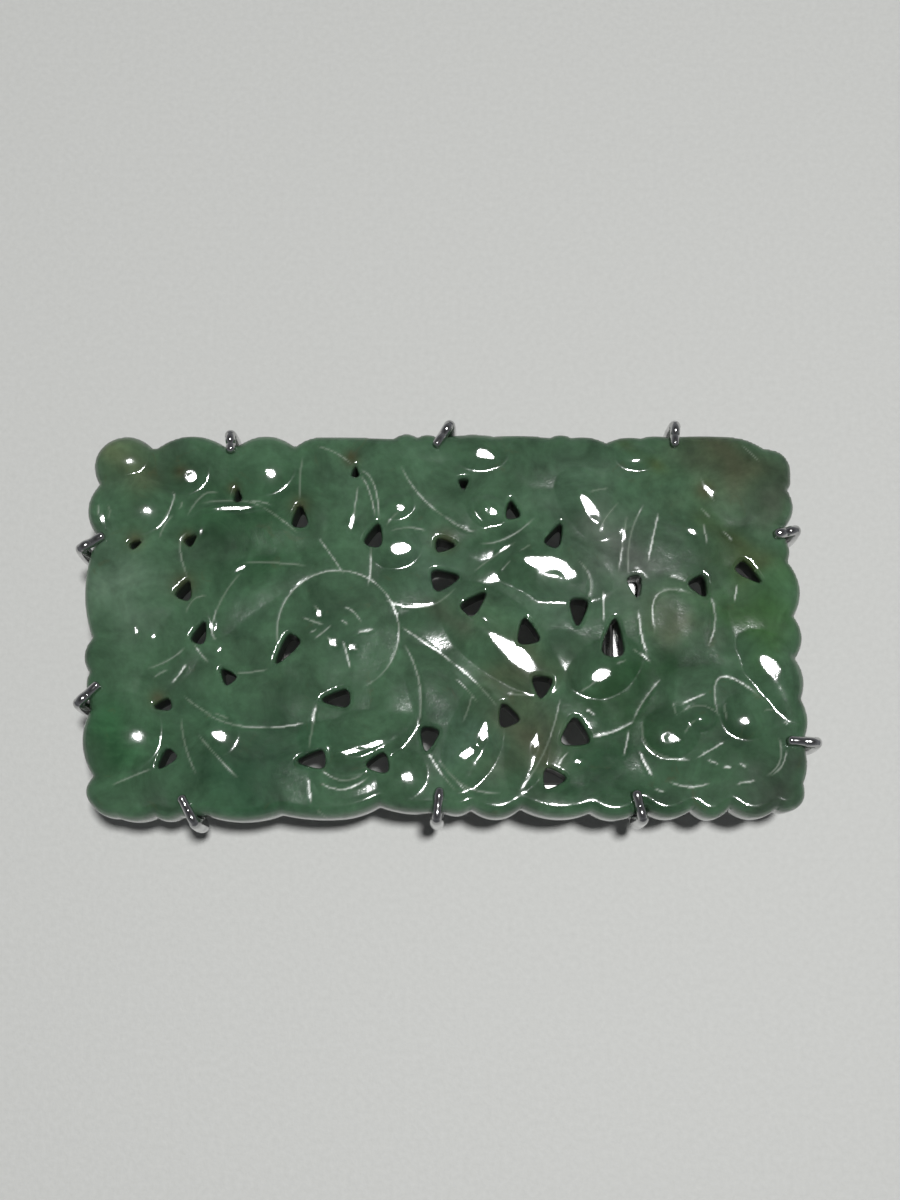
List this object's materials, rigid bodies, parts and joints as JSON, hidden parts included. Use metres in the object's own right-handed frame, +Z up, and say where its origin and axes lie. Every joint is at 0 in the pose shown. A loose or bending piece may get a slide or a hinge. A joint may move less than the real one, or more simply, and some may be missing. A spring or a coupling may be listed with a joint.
{
  "type": "jade obi clip",
  "caption": "Carved, pierced jade plaque held by wire claws on a metal mount, with two cord loops behind that thread it on a kimono's sash cord.",
  "frame": {"origin": "on the ground under the middle of the clip's box, as it lies on its cord loops with the carving up", "axes": "+X along the plaque, to the right of the carved face; +Y across it, to its upper edge; +Z up, out of the carved face"},
  "size_m": [0.0578, 0.0322, 0.0111],
  "materials": {
    "jade": "polished translucent green jadeite, mottled",
    "mount_metal": "satin white metal with light tarnish",
    "claw_metal": "polished white metal wire"
  },
  "bodies": {
    "root": {"jade_plaque": "jade", "mount_rim": "mount_metal", "cross_bar_left": "mount_metal", "cross_bar_right": "mount_metal", "cord_loop_left": "mount_metal", "cord_loop_right": "mount_metal", "claw_top_left": "claw_metal", "claw_top_middle": "claw_metal", "claw_top_right": "claw_metal", "claw_right_upper": "claw_metal", "claw_right_lower": "claw_metal", "claw_bottom_right": "claw_metal", "claw_bottom_middle": "claw_metal", "claw_bottom_left": "claw_metal", "claw_left_lower": "claw_metal", "claw_left_upper": "claw_metal"}
  },
  "joints": []
}
